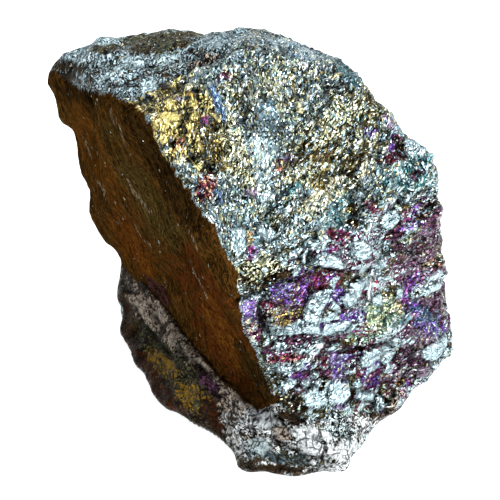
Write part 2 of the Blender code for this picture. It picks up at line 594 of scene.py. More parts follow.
def linear(colour):
    """An sRGB hex colour as linear light: (c + 0.055) / 1.055 to the power 2.4, or c / 12.92."""
    parts = [int(colour[i : i + 2], 16) / 255 for i in (1, 3, 5)]
    return [c / 12.92 if c <= 0.04045 else ((c + 0.055) / 1.055) ** 2.4 for c in parts]


def patch_row(plate, hollow, share, rough, stray):
    """A patch's two colours as linear light, and its three shares: nine numbers in all."""
    return np.array(linear(COLOURS[plate]) + linear(COLOURS[hollow]) + [share, rough, stray])


print("colours:", len(COLOURS))

# %% Patches
# What covers a zone where no patch lies: stands out, hollow, hollow share, roughness, and the
# share of grains that take a stray colour.
GROUND = {
    "front": ("steel", "slate", 0.40, 0.95, 0.52),
    # The left face: iron stain, darkened also as painted shade for the shade it lies in.
    "left": ("rust", "brown", 0.45, 0.8, 0.04),
    "crown": ("steel", "brown", 0.52, 1.0, 0.25),
    "foot": ("smoke", "umber", 0.45, 0.8, 0.10),
}
# Patches where that last share isn't the usual one.
STRAY_SHARES = {
    "lower part": 0.24,
    "gold by the ridge": 0.32,
    "gold further right": 0.36,
    "upper straw streaks": 0.46,
    "upper back edge": 0.50,
    "straw behind the column": 0.55,
    "straw by the blue streak": 0.52,
    "right side": 0.20,
    "gold in the middle": 0.42,
    "pale column": 0.46,
    "grey under the streaks": 0.50,
    "blue-grey right of it": 0.42,
    "straw in the middle": 0.40,
    "shoulder": 0.40,
    "below the shoulder": 0.24,
    "olive plates of the middle": 0.36,
    "teal and gold at the foot": 0.36,
    "quartz at the right": 0.12,
    "peppered quartz": 0.20,
}
USUAL_STRAY_SHARE = {"front": 0.32, "left": 0.04, "crown": 0.20, "foot": 0.02}
# Pixels: middle across and down, half length, half width, and the length's turn from level,
# anticlockwise in degrees. Then what stands out, the hollows, their share and the roughness.
PATCHES = {
    "front": {
        "lower part": (345, 350, 135, 105, 35, "silver", "plum", 0.42, 0.45),
        "gold by the ridge": (182, 125, 50, 40, -45, "pale gold", "olive", 0.44, 0.9),
        "gold further right": (220, 145, 34, 20, -50, "old gold", "olive", 0.45, 0.95),
        "upper straw streaks": (342, 135, 85, 38, 48, "straw", "olive", 0.43, 1.0),
        "upper back edge": (290, 55, 75, 20, -22, "steel", "slate", 0.45, 0.9),
        "straw behind the column": (286, 88, 46, 26, -30, "straw", "slate", 0.50, 1.0),
        "straw by the blue streak": (240, 95, 32, 14, -60, "straw", "moss", 0.50, 1.0),
        "gold in the middle": (238, 150, 45, 12, -75, "straw", "olive", 0.45, 1.0),
        "pale column": (267, 152, 40, 13, -88, "silver", "steel", 0.50, 0.7),
        "grey under the streaks": (305, 205, 30, 22, 20, "steel", "slate", 0.45, 1.0),
        "blue-grey right of it": (335, 212, 22, 16, 60, "silver", "teal", 0.40, 0.8),
        "straw in the middle": (345, 175, 60, 13, 42, "cream", "olive", 0.38, 0.9),
        "shoulder": (412, 172, 34, 26, -50, "silver", "teal", 0.34, 0.95),
        "sky by the streaks": (352, 75, 16, 7, -50, "sky", "teal", 0.45, 0.9),
        "sky in the column": (270, 118, 22, 9, -85, "sky", "steel", 0.45, 0.9),
        "pale at the top": (300, 50, 32, 8, -15, "silver", "sky", 0.40, 0.9),
        "below the shoulder": (395, 225, 60, 16, 35, "silver", "plum", 0.45, 0.8),
        "right edge": (440, 262, 60, 14, 88, "moss", "plum", 0.55, 0.9),
        "gold and brown by the ledge": (258, 270, 26, 14, 20, "straw", "umber", 0.52, 1.0),
        "grey by the ridge": (262, 372, 14, 26, 55, "steel", "olive", 0.50, 0.95),
        "right side": (425, 285, 85, 22, 88, "mauve", "plum", 0.48, 0.95),
        "olive plates of the middle": (286, 235, 20, 20, 0, "steel", "moss", 0.45, 1.0),
        "teal and gold at the foot": (360, 338, 28, 9, 25, "green", "plum", 0.45, 0.9),
        "lower right edge": (412, 362, 36, 15, 55, "mauve", "plum", 0.55, 0.9),
        "brown at the toe": (392, 402, 12, 7, 60, "bone", "umber", 0.50, 0.9),
        "dark brown by the crease": (290, 405, 14, 12, -30, "brown", "umber", 0.50, 0.9),
        "peppered at the foot": (342, 424, 22, 12, 0, "silver", "dark", 0.50, 1.0),
        "magenta spot": (226, 76, 8, 4, 20, "magenta", "crimson", 0.50, 0.9),
        "purple spot": (205, 121, 5, 4, 0, "magenta", "lilac", 0.40, 0.7),
        "small purple spot": (180, 99, 4, 3, 0, "lilac", "violet", 0.40, 0.8),
        "copper under the gold": (178, 143, 9, 6, 30, "copper", "umber", 0.55, 0.9),
        "red patch by the ridge": (206, 183, 15, 9, 60, "copper", "crimson", 0.45, 0.8),
        "pale by the red patch": (183, 180, 12, 6, -55, "silver", "moss", 0.45, 0.9),
        "red spot": (279, 165, 5, 6, 0, "copper", "crimson", 0.50, 0.9),
        "violet by the red spot": (290, 158, 6, 5, 0, "lilac", "mauve", 0.50, 0.9),
        "brown spot": (324, 154, 12, 7, 20, "copper", "olive", 0.65, 1.0),
        "olive spot": (320, 180, 13, 9, 20, "old gold", "olive", 0.60, 0.9),
        "teal bits": (290, 190, 16, 5, 35, "teal", "slate", 0.45, 0.9),
        "lilac at the upper right": (390, 122, 10, 5, -55, "lilac", "mauve", 0.50, 0.9),
        "purple in the shoulder": (393, 142, 13, 5, 80, "magenta", "violet", 0.50, 0.9),
        "dark red in the shoulder": (401, 148, 15, 5, -75, "crimson", "umber", 0.65, 0.6),
        "brown under the purple": (391, 158, 11, 5, 10, "mauve", "crimson", 0.50, 0.9),
        "violet by the shoulder": (371, 133, 5, 4, 20, "lilac", "violet", 0.40, 0.8),
        "gold over dark red": (354, 209, 9, 7, 0, "pale gold", "umber", 0.50, 0.9),
        "dark red under gold": (354, 222, 9, 6, 0, "crimson", "umber", 0.55, 0.9),
        "crimson": (338, 235, 10, 6, -20, "magenta", "crimson", 0.60, 0.9),
        "plum right of the middle": (370, 206, 8, 7, 0, "mauve", "crimson", 0.55, 0.9),
        "orange streak": (251, 238, 9, 5, 85, "copper", "pale gold", 0.40, 1.0),
        "pink streak": (253, 251, 8, 5, 80, "lilac", "magenta", 0.50, 1.0),
        "violet band": (303, 284, 16, 12, 20, "violet", "plum", 0.42, 0.8),
        "violet band's end": (326, 280, 14, 8, 20, "violet", "crimson", 0.60, 0.9),
        "brown ledge": (266, 284, 36, 5, 24, "brown", "umber", 0.50, 0.9),
        "lilac under the ledge": (281, 292, 12, 8, 25, "violet", "lilac", 0.35, 0.8),
        "violet bits": (292, 302, 15, 7, 15, "violet", "plum", 0.50, 0.9),
        "violet by the slit": (250, 312, 13, 7, -80, "violet", "lilac", 0.45, 0.8),
        "pink by the slit": (254, 332, 10, 6, -60, "cream", "magenta", 0.50, 0.9),
        "olive sparkle": (286, 317, 17, 10, 10, "old gold", "plum", 0.50, 0.9),
        "purple below": (298, 340, 12, 4, 0, "magenta", "plum", 0.60, 0.9),
        "crimson below": (290, 357, 18, 6, 10, "crimson", "umber", 0.45, 0.8),
        "grey crimson": (326, 362, 7, 6, 20, "mauve", "crimson", 0.60, 0.6),
        "violet at the foot": (339, 369, 14, 7, -65, "violet", "lilac", 0.40, 0.9),
        "small purple below": (301, 376, 9, 4, 0, "violet", "magenta", 0.50, 0.9),
        "violet edge": (342, 404, 9, 5, 20, "mauve", "violet", 0.55, 0.9),
        "teal at the foot": (360, 386, 7, 6, 0, "teal", "silver", 0.35, 0.8),
        "purple towards the right": (373, 381, 10, 7, 0, "magenta", "violet", 0.50, 0.9),
        "pink right of it": (387, 376, 5, 5, 0, "copper", "crimson", 0.55, 0.9),
        "crimson line": (362, 349, 20, 3, 12, "crimson", "umber", 0.50, 0.8),
        "orange at the foot": (402, 382, 6, 4, 0, "gold", "copper", 0.50, 0.9),
        "violet at the foot's edge": (410, 384, 5, 4, 0, "violet", "plum", 0.50, 0.8),
        "violet in the dark": (418, 212, 10, 5, 70, "violet", "plum", 0.50, 0.9),
        "brown with orange edge": (428, 214, 13, 6, 50, "copper", "umber", 0.70, 0.9),
        "crimson in the middle": (399, 233, 12, 6, 30, "crimson", "plum", 0.50, 0.9),
        "violet under the dark": (414, 226, 12, 4, 20, "lilac", "violet", 0.55, 0.9),
        "dark band": (415, 248, 24, 9, 5, "moss", "plum", 0.55, 0.9),
        "violet stripe": (412, 287, 18, 7, 70, "violet", "magenta", 0.45, 0.9),
        "rust at the right": (434, 262, 12, 5, 20, "copper", "umber", 0.60, 0.9),
        "pale at the right": (428, 288, 16, 8, 40, "silver", "mauve", 0.45, 0.8),
        "blue-violet at the right": (429, 322, 18, 10, -60, "violet", "blue", 0.35, 0.8),
        "gold bit": (399, 307, 4, 5, 0, "gold", "cream", 0.40, 0.7),
        "teal bit": (402, 319, 7, 5, 0, "teal", "silver", 0.35, 0.8),
        "green bits": (383, 314, 17, 15, 40, "green", "straw", 0.42, 0.9),
        "orange bit at the foot": (350, 343, 6, 3, 0, "gold", "olive", 0.50, 0.8),
    },
    "crown": {
        "brown hump": (163, 40, 44, 12, 2, "moss", "brown", 0.50, 0.7),
        "brown behind": (104, 48, 20, 5, 5, "moss", "brown", 0.50, 0.7),
        "back rim": (105, 40, 16, 3, 10, "silver", "steel", 0.40, 0.8),
        "brown left end": (60, 70, 18, 15, 0, "brown", "umber", 0.50, 0.5),
        "pale at the left": (80, 52, 16, 6, 30, "steel", "slate", 0.45, 0.9),
        "blue-white patches": (92, 57, 18, 5, 0, "silver", "slate", 0.45, 0.9),
        "white-blue": (132, 61, 12, 6, -10, "silver", "steel", 0.20, 0.6),
        "second white-blue": (112, 74, 14, 6, 10, "silver", "slate", 0.35, 0.8),
        "white at the crown's edge": (150, 85, 12, 7, -10, "silver", "steel", 0.40, 0.7),
        "pale towards the right": (170, 62, 14, 6, 0, "silver", "moss", 0.40, 0.8),
        "pale bit": (206, 68, 8, 6, 20, "silver", "steel", 0.30, 0.6),
        "dark bits": (206, 60, 18, 4, 15, "bone", "dark", 0.60, 0.9),
        "plain grey": (215, 42, 24, 7, 15, "steel", "slate", 0.30, 0.6),
        "blue-grey at the back": (238, 34, 16, 6, 0, "steel", "slate", 0.45, 0.7),
    },
    "left": {
        # Iron stain, darkened also as painted shade for the shaded left face.
        "orange at the left edge": (95, 150, 60, 12, -62, "orange rust", "rust", 0.45, 0.7),
        "olive in the middle": (150, 205, 85, 15, -58, "olive brown", "brown", 0.45, 0.9),
        "dark by the crown": (75, 92, 24, 9, -20, "brown", "umber", 0.50, 0.8),
        "orange low at the left": (130, 240, 40, 13, -60, "orange rust", "red rust", 0.45, 0.7),
        "dark by the ridge": (165, 175, 70, 10, -60, "brown", "umber", 0.50, 0.9),
        "red low on the face": (215, 320, 85, 20, -60, "red rust", "brown", 0.40, 0.8),
        "orange low on the face": (222, 330, 40, 10, -60, "orange rust", "red rust", 0.45, 0.8),
        "dark at the ridge's foot": (252, 370, 30, 7, -60, "brown", "umber", 0.50, 0.8),
        "grey by the crown": (140, 99, 16, 6, -40, "smoke", "umber", 0.50, 0.9),
        "grey by the gold": (147, 110, 14, 3, -75, "steel", "slate", 0.50, 0.9),
        "crimson near the vein": (158, 291, 16, 6, -45, "dark plum", "umber", 0.40, 0.8),
    },
    "foot": {
        # Painted shade: the foot's left side lies in shade, and its rust is painted darker for it.
        "rusty left side in painted shade": (130, 335, 55, 18, -65, "rust", "umber", 0.50, 0.7),
        "mottled under the vein": (170, 362, 48, 16, -48, "moss", "umber", 0.50, 0.9),
        "ochre band": (163, 366, 20, 9, -48, "ochre", "olive", 0.50, 0.6),
        "lower ochre": (193, 397, 22, 11, -32, "ochre", "moss", 0.50, 0.6),
        "rim of the foot": (150, 385, 95, 13, -52, "red rust", "umber", 0.45, 0.6),
        "purple-brown": (212, 386, 22, 7, -50, "plum", "umber", 0.50, 0.8),
        "brown of the nose": (218, 420, 26, 9, -55, "red rust", "brown", 0.50, 0.7),
        "grey at the nose": (238, 425, 32, 12, -60, "bone", "smoke", 0.55, 0.9),
        "vein": (160, 321, 62, 11, -48, "bone", "smoke", 0.38, 0.45),
        "lower vein": (222, 382, 50, 6, -46, "bone", "smoke", 0.45, 0.45),
        "quartz at the right": (318, 436, 78, 40, 0, "milk", "smoke", 0.44, 0.8),
        "white bits at the nose": (257, 450, 12, 10, 80, "ice", "slate", 0.45, 0.9),
        "grey-green band": (290, 460, 30, 6, -10, "slate", "moss", 0.45, 0.9),
        "brown base": (275, 469, 32, 3, -2, "brown", "umber", 0.40, 0.7),
        "dark under the ore": (292, 418, 14, 6, -10, "brown", "dark", 0.50, 0.9),
        "peppered quartz": (340, 430, 20, 9, 0, "ice", "dark", 0.50, 1.0),
        "pale right end": (352, 452, 14, 14, 40, "milk", "ice", 0.40, 0.7),
    },
}


winner = np.array([zones[name] for name in GROUND]).argmax(axis=0)
finish = np.array([patch_row(*row) for row in GROUND.values()])[winner]
luck = 0.1 + 0.8 * chance(small[0], 4)
for index, zone in enumerate(GROUND):
    for name, (*ellipse, plate, hollow, share, rough) in PATCHES[zone].items():
        taken = (patch_cover(*ellipse) > luck) & (winner == index)
        stray = STRAY_SHARES.get(name, USUAL_STRAY_SHARE[zone])
        finish[taken] = patch_row(plate, hollow, share, rough, stray)
print("patches:", {zone: len(patches) for zone, patches in PATCHES.items()})

# %% Tints of the hollows
# In the lower part each plate's hollow has one of these colours.
HOLLOW_TINTS = ("plum", "crimson", "violet", "olive", "umber", "plum", "magenta")
tint = (chance(plates[0], 15) * len(HOLLOW_TINTS)).astype(int)
tinted = (winner == 0) & (finish[:, 8] == STRAY_SHARES["lower part"])
tints = np.array([linear(COLOURS[name]) for name in HOLLOW_TINTS])
finish[tinted, 3:6] = tints[tint[tinted]]
print("points with tinted hollows:", int(tinted.sum()))

# %% [markdown]
# ## Plates that stand out one by one
#
# The eye knows a stone by its largest plates and its deepest splits. Those of the photograph
# are outlined here one by one, and the chance plates fill the space between them. A plate is
# smooth and stands out a little, with painted shade round it. A split is a groove in painted shade.

# %% Plates
PLATES = {
    # the pale plates of the lower part
    "by the ridge": [(230, 228), (246, 227), (246, 250), (237, 257), (230, 248)],
    "wedge": [(257, 223), (264, 222), (278, 236), (268, 242), (261, 238)],
    "long plate": [(315, 262), (318, 253), (326, 251), (340, 257), (348, 267), (342, 269), (325, 267)],
    "right of the long plate": [(350, 243), (362, 240), (371, 247), (371, 258), (359, 260), (351, 255)],
    "small bit": [(279, 260), (286, 259), (288, 265), (282, 268)],
    "six-sided bit": [(260, 268), (266, 267), (269, 271), (264, 274)],
    "over the violet": [(291, 272), (299, 266), (301, 269), (294, 278)],
    "thin bit": [(301, 262), (303, 250), (308, 249), (305, 263)],
    "square bit": [(287, 252), (295, 250), (297, 257), (289, 260)],
    "broad plate": [
        (303, 312), (311, 296), (317, 290), (329, 292), (329, 300), (320, 312), (317, 326), (304, 322)
    ],
    "its left end": [(278, 336), (288, 324), (298, 320), (318, 327), (322, 334), (300, 333), (290, 336)],
    "block under the wave": [(328, 308), (334, 301), (341, 308), (340, 313)],
    "wave": [(344, 304), (342, 297), (352, 291), (358, 281), (364, 281), (361, 295), (353, 306), (347, 309)],
    "left of the wave": [(328, 284), (332, 278), (341, 275), (334, 288)],
    "thorn": [(369, 279), (371, 279), (370, 300), (364, 311), (367, 298)],
    "under the broad plate": [(322, 335), (325, 325), (338, 323), (352, 322), (342, 334), (330, 337)],
    "leaning bit": [(343, 334), (352, 325), (360, 322), (350, 333)],
    "three bits": [(272, 350), (275, 342), (291, 346), (283, 350)],
    "second bit": [(295, 351), (303, 348), (310, 351), (302, 354)],
    "third bit": [(313, 345), (322, 341), (323, 347), (317, 349)],
    "long bit": [(325, 350), (337, 343), (341, 345), (331, 352)],
    "lone bit": [(304, 353), (316, 359), (314, 362), (308, 361)],
    "under the crimson": [(273, 366), (279, 364), (289, 367), (288, 373), (283, 378), (278, 373)],
    "its neighbour": [(292, 367), (301, 365), (299, 370), (293, 370)],
    "low plate": [(279, 385), (284, 381), (296, 379), (297, 385), (289, 390), (282, 394)],
    "low plate's neighbour": [(300, 383), (309, 380), (311, 384), (304, 389)],
    "lowest plate": [(302, 396), (311, 390), (315, 385), (328, 399), (327, 406), (314, 409), (304, 404)],
    "grey low plate": [(328, 392), (331, 383), (349, 382), (350, 396), (343, 403), (331, 405)],
    "between them": [(312, 372), (319, 373), (317, 379), (311, 378)],
    "mid plate": [(360, 359), (367, 352), (377, 348), (383, 352), (377, 359), (368, 366), (362, 366)],
    "little wedge": [(382, 372), (387, 364), (391, 365), (386, 373)],
    "slanting bit": [(400, 348), (404, 341), (412, 335), (410, 342)],
    "lower slanting bit": [(401, 372), (403, 366), (408, 363), (405, 372)],
    "right plate": [(424, 359), (422, 350), (436, 342), (446, 334), (447, 346), (440, 354), (432, 361)],
    "mauve plate": [(415, 373), (422, 366), (429, 366), (430, 372), (424, 378), (416, 378)],
    "toe bit": [(433, 364), (439, 363), (440, 368), (434, 371)],
    "pale toe": [(379, 395), (384, 396), (384, 410), (376, 409)],
    "blue-grey plate": [(356, 392), (374, 392), (372, 400), (357, 400)],
    "right slanting plate": [(411, 300), (419, 294), (441, 281), (438, 290)],
    "right upper plate": [(425, 279), (438, 270), (442, 273), (433, 282)],
    "right of the thorn": [(372, 304), (373, 296), (382, 293), (383, 306)],
    "pale square": [(394, 300), (396, 290), (404, 287), (402, 298)],
    # the plates of the middle and the shoulder
    "under the shoulder": [(380, 222), (385, 214), (396, 210), (401, 220), (394, 230), (382, 228)],
    "right middle plate": [(402, 203), (405, 196), (414, 193), (409, 203)],
    "left middle plate": [(355, 197), (354, 192), (364, 192), (366, 198)],
    "lilac block": [(243, 196), (245, 189), (256, 187), (256, 199)],
    "slanting pale plate": [(259, 204), (258, 195), (272, 188), (268, 200)],
    "blue bit high up": [(284, 91), (289, 87), (293, 94), (289, 99)],
    "white bit high up": [(301, 62), (308, 60), (309, 68), (302, 70)],
    "cream": [(295, 104), (299, 100), (303, 112), (298, 113)],
    "green by the cream": [(304, 101), (309, 103), (309, 111), (305, 112)],
    "yellow strip": [(328, 79), (336, 73), (344, 73), (338, 79)],
    "shoulder block": [(403, 147), (407, 140), (414, 139), (428, 151), (420, 158), (408, 156)],
    "blue streak": [(211, 85), (216, 84), (220, 97), (229, 121), (225, 124), (219, 114), (212, 99)],
    "blue streak behind": [(228, 56), (233, 56), (249, 77), (245, 78)],
    "blue bit by the ridge": [(213, 190), (217, 188), (224, 202), (220, 205)],
    # the gold by the ridge
    "big gold plate": [(152, 122), (161, 113), (175, 112), (183, 117), (172, 135), (163, 149), (160, 133)],
    "upper gold plate": [(164, 110), (168, 99), (175, 101), (179, 108), (172, 111)],
    "gold chip": [(186, 97), (189, 92), (196, 92), (194, 97)],
    "second gold chip": [(189, 119), (193, 112), (199, 113), (196, 120)],
    "third gold chip": [(184, 133), (190, 131), (192, 136), (187, 138)],
    "fourth gold chip": [(184, 84), (192, 83), (193, 90), (186, 92)],
    "fifth gold chip": [(189, 104), (196, 101), (197, 107), (191, 109)],
    "white chip": [(150, 114), (156, 111), (157, 117), (152, 120)],
    "dark chip": [(157, 84), (166, 83), (173, 92), (160, 92)],
    # the quartz
    "lilac quartz": [(259, 411), (270, 412), (278, 419), (272, 428), (262, 428), (258, 420)],
    "beige quartz": [(272, 429), (280, 424), (290, 430), (290, 440), (277, 440)],
    "white quartz": [(292, 432), (300, 426), (322, 426), (330, 433), (323, 438), (309, 440), (296, 441)],
    "lower white quartz": [(300, 441), (316, 440), (324, 448), (321, 457), (309, 455), (302, 448)],
    "pale quartz": [(327, 441), (342, 445), (352, 452), (342, 464), (328, 457)],
    "blue quartz": [(249, 440), (262, 438), (270, 448), (262, 456), (251, 452)],
}
# Plates that aren't silver with steel between their grains.
PLATE_COLOURS = {
    ("silver", "teal"): [
        "by the ridge", "right of the long plate", "pale toe", "blue-grey plate", "under the shoulder",
        "left middle plate",
    ],
    ("silver", "bone"): ["block under the wave"],
    ("milk", "steel"): ["thorn", "third bit", "lone bit", "lower slanting bit", "white bit high up"],
    ("silver", "moss"): ["grey low plate"],
    ("mauve", "plum"): ["mauve plate"],
    ("silver", "green"): ["right of the thorn", "green by the cream"],
    ("mauve", "lilac"): ["lilac block"],
    ("silver", "blue"): ["blue bit high up", "shoulder block", "blue streak behind"],
    ("cream", "pale gold"): ["cream"],
    ("cream", "straw"): ["yellow strip"],
    ("blue", "slate"): ["blue streak", "blue bit by the ridge"],
    ("pale gold", "gold"): [
        "big gold plate", "upper gold plate", "second gold chip", "third gold chip", "fifth gold chip",
    ],
    ("gold", "old gold"): ["gold chip"],
    ("cream", "gold"): ["fourth gold chip"],
    ("cream", "steel"): ["white chip"],
    ("umber", "dark"): ["dark chip"],
    ("milk", "lilac"): ["lilac quartz"],
    ("bone", "smoke"): ["beige quartz"],
    ("milk", "ice"): ["white quartz", "lower white quartz"],
    ("milk", "bone"): ["pale quartz"],
    ("ice", "slate"): ["blue quartz"],
}
own_colours = {name: pair for pair, names in PLATE_COLOURS.items() for name in names}
# Painted shade: a dark line just outside each plate, where it steps down to the hollows.
RIM_SHADE = 0.7
on_plate = np.zeros(len(soft))
plate_rim_shade = np.ones(len(soft))
wavering = seen + 1.0 * bend[:, :2]
for name, outline in PLATES.items():
    plate, hollow = own_colours.get(name, ("silver", "steel"))
    within = inside_by(wavering, outline) * facing
    taken = (within > 0) & (facing > 0.5)
    finish[taken] = patch_row(plate, hollow, 0.24, 0.55, 0.10)
    on_plate[taken] = 1
    plate_rim_shade[taken] = 1
    rim = facing * np.exp(-(((within + 0.8) / 1.0) ** 2))
    plate_rim_shade *= 1 - RIM_SHADE * rim * (1 - taken)
print("plates:", len(PLATES), "on", int(on_plate.sum()), "points")

# %% Splits
# Pixels along the middle of a split, its half width in pixels and its depth in mm.
# Each split also darkens the colour along it: painted shade in its groove or hole.
SPLITS = {
    "under the ledge": (2.2, 0.6, [(236, 301), (250, 297), (262, 293), (274, 287), (300, 278)]),
    "slit": (4.0, 0.9, [(267, 298), (262, 308), (263, 321), (268, 332)]),
    "under the long plate": (1.4, 0.7, [(308, 266), (325, 269), (345, 271), (360, 271)]),
    "to the shoulder": (1.5, 0.8, [(360, 278), (370, 272), (378, 263), (386, 254), (400, 252), (420, 256)]),
    "over the shoulder": (1.6, 0.7, [(386, 252), (384, 243), (392, 232), (403, 222)]),
    "shoulder crack": (1.3, 0.7, [(398, 200), (404, 206), (413, 203), (420, 194), (434, 189)]),
    "low split": (1.2, 0.6, [(297, 379), (298, 389)]),
    "second low split": (1.2, 0.6, [(302, 385), (306, 390), (314, 384)]),
    "split at the left foot": (1.3, 0.5, [(300, 336), (314, 341), (327, 337), (341, 332)]),
    "split by the crimson": (1.3, 0.6, [(296, 371), (303, 372), (312, 373), (318, 367)]),
    "split over the crimson": (1.2, 0.5, [(304, 352), (311, 361), (318, 358), (330, 353)]),
    "crimson split": (1.6, 0.6, [(345, 353), (360, 351), (372, 346), (384, 343), (392, 348)]),
    "split at the toe": (1.3, 0.6, [(366, 402), (377, 403), (384, 410)]),
    "split under the purple": (1.3, 0.5, [(352, 381), (353, 400), (346, 403)]),
    "right split": (2.0, 0.7, [(393, 396), (402, 382), (410, 366), (417, 350)]),
    "dark by the mauve plate": (1.3, 0.5, [(420, 362), (430, 363), (444, 358)]),
    "scoop": (2.4, 0.8, [(188, 158), (199, 157), (207, 163), (215, 173)]),
    "gold split": (2.2, 0.6, [(188, 114), (183, 123), (182, 131), (175, 141)]),
    "gold split above": (1.8, 0.5, [(197, 88), (199, 98), (200, 112), (197, 122)]),
    "dark by the purple": (2.0, 0.5, [(211, 119), (213, 124), (217, 131)]),
    "streak split": (1.3, 0.8, [(300, 180), (311, 173), (321, 168)]),
    "split in the middle": (1.5, 0.6, [(262, 219), (268, 212), (279, 205)]),
    "dark below the streaks": (2.5, 0.4, [(303, 185), (305, 196), (302, 203)]),
    "bow": (1.6, 0.8, [(321, 84), (324, 76), (330, 71), (337, 67)]),
    "teal hole": (2.2, 0.8, [(324, 86), (334, 86), (342, 82), (348, 83)]),
    "small bow": (1.3, 0.6, [(343, 93), (348, 96), (350, 100)]),
    "hole under the cream": (1.5, 0.8, [(289, 111), (295, 115)]),
    "bow high up": (1.2, 0.6, [(252, 62), (258, 68), (268, 65), (280, 56)]),
    "dark red split": (2.6, 0.5, [(391, 133), (398, 141), (400, 153), (405, 158)]),
    "split in the dark": (1.8, 0.7, [(414, 205), (421, 201), (428, 208), (439, 211)]),
    "crown line": (1.0, 0.5, [(66, 72), (78, 66), (92, 62), (104, 60)]),
    "crown line behind": (1.2, 0.4, [(92, 68), (100, 64), (112, 65)]),
    "crown split": (1.5, 0.6, [(130, 67), (148, 66), (165, 63), (185, 60), (203, 57)]),
    "crown pits": (1.8, 0.8, [(174, 75), (188, 71), (198, 63), (211, 61), (222, 55)]),
    "crown edge pits": (1.5, 0.5, [(102, 82), (112, 88), (122, 84), (136, 80)]),
    "edge line": (1.2, 0.4, [(118, 92), (128, 87), (140, 84)]),
    "pit at the crown's edge": (2.0, 0.5, [(88, 97), (91, 104)]),
    "hole in the vein": (3.2, 0.8, [(154, 316), (156, 323), (161, 330)]),
    "second hole in the vein": (2.8, 0.7, [(179, 347), (182, 353), (187, 358)]),
    "third hole in the vein": (2.0, 0.6, [(192, 359), (199, 366), (206, 372), (214, 376)]),
    "fourth hole in the vein": (2.0, 0.5, [(213, 393), (219, 399)]),
    "upper hole in the vein": (2.6, 0.5, [(125, 285), (130, 292)]),
    "shade in the crease over the vein": (1.2, 0.4, [(140, 282), (165, 308), (190, 342), (215, 371), (250, 402)]),
    "side of the vein": (1.6, 0.4, [(132, 305), (142, 322), (155, 338), (172, 358)]),
    "brown streak in the quartz": (2.6, 0.5, [(272, 438), (284, 446), (300, 454), (320, 459)]),
    "hook in the quartz": (1.3, 0.5, [(313, 436), (322, 441), (325, 448), (322, 457)]),
    "dark by the quartz": (1.6, 0.5, [(250, 425), (254, 433), (252, 437)]),
    "split under the brown": (1.8, 0.6, [(296, 417), (303, 422), (308, 419)]),
}
# Painted shade: how much the colour darkens in the middle of a split.
SPLIT_SHADE = 0.93
split_shade = np.ones(len(soft))
split_depth = np.zeros(len(soft))

for half_width, depth, line in SPLITS.values():
    cut = facing * np.exp(-((line_distance(wavering, line) / half_width) ** 2))
    split_shade *= 1 - SPLIT_SHADE * cut
    split_depth = np.maximum(split_depth, depth * cut)
print("splits:", len(SPLITS), "deepest", round(split_depth.max(), 2), "mm")

# %% [markdown]
# ## Dust and hidden sides
#
# Pale dust lies in a few scratches of the left face. The sides that the camera doesn't see have
# no patches to follow, so clouds share out the same colours there.

# %% Dust in the scratches of the left face
DUSTY = {
    "at the left edge": (1.0, [(83, 137), (88, 146), (93, 157)]),
    "under the crown": (1.6, [(110, 112), (113, 120)]),
    "long one": (1.0, [(117, 118), (121, 128), (124, 142)]),
    "low at the left": (1.2, [(99, 182), (103, 190), (105, 198)]),
    "dotted one": (1.2, [(128, 180), (133, 192), (142, 202), (150, 212)]),
    "lower dotted one": (0.9, [(136, 226), (142, 238), (150, 247)]),
    "by the ridge": (1.0, [(186, 222), (192, 236), (198, 248)]),
    "thin one": (0.7, [(190, 262), (198, 280), (208, 300)]),
}
for half_width, line in DUSTY.values():
    dusty = facing * np.exp(-((line_distance(wavering, line) / half_width) ** 2))
    taken = (dusty > 0.3 + 0.6 * chance(small[0], 14)) & (winner == 1)
    finish[taken] = patch_row("dust", "rust", 0.45, 0.9, 0.1)
print("scratches with dust:", len(DUSTY))

# %% Colours of the sides that the camera doesn't see
# For each zone: from and to which level of the clouds, and what lies there.
SIDE_PATCHES = [
    ("front", 0.30, 1.5, ("pale gold", "olive", 0.45, 0.9, 0.35)),
    ("front", -1.5, -0.45, ("violet", "plum", 0.50, 0.9, 0.35)),
    ("left", 0.40, 1.5, ("orange rust", "rust", 0.45, 0.8, 0.04)),
    ("left", -0.40, -0.05, ("olive", "brown", 0.55, 0.9, 0.05)),
    ("left", -1.5, -0.40, ("olive brown", "umber", 0.50, 0.9, 0.05)),
    ("foot", -1.5, 1.5, ("ice", "smoke", 0.45, 0.9, 0.10)),
]
side_noise = clouds(soft, 9.0, 241) + 0.4 * (chance(small[0], 12) - 0.5)
for zone, low, high, row in SIDE_PATCHES:
    here = (facing < 0.5) & (winner == list(GROUND).index(zone))
    finish[here & (side_noise > low) & (side_noise < high)] = patch_row(*row)
print("points that face away:", int((facing < 0.5).sum()))

# %% [markdown]
# ## Relief
#
# The skin is now moved in and out along its normals. The near face gets its plates, its sunken
# hollows and its cracks. The left face split along an old joint, so it is nearly flat, with
# fine scratches down the way that it slid. The crown is weathered and pitted, and the foot is
# quartz, which breaks in blocks.

# %% Relief of the near face
PLATE_LEVEL = 0.18  # mm up or down
HOLLOW_DEPTH = 0.24  # mm
CRACK_WIDTH = 0.20  # mm
CRACK_DEPTH = 0.35  # mm
PLATE_STANDS = 0.30  # mm that a plate seen in the photograph stands out

share, rough = finish[:, 6], finish[:, 7]
hollow_plate = step(-0.02, 0.02, share - chance(plates[0], 5)) * (on_plate == 0)
hollow_small = step(-0.05, 0.05, share - chance(small[0], 6)) * (on_plate == 0)
hollow = np.clip(0.65 * hollow_plate + 0.5 * hollow_small, 0, 1)
cracked = step(-0.1, 0.3, clouds(soft, 5.0, 251)) * (on_plate == 0)

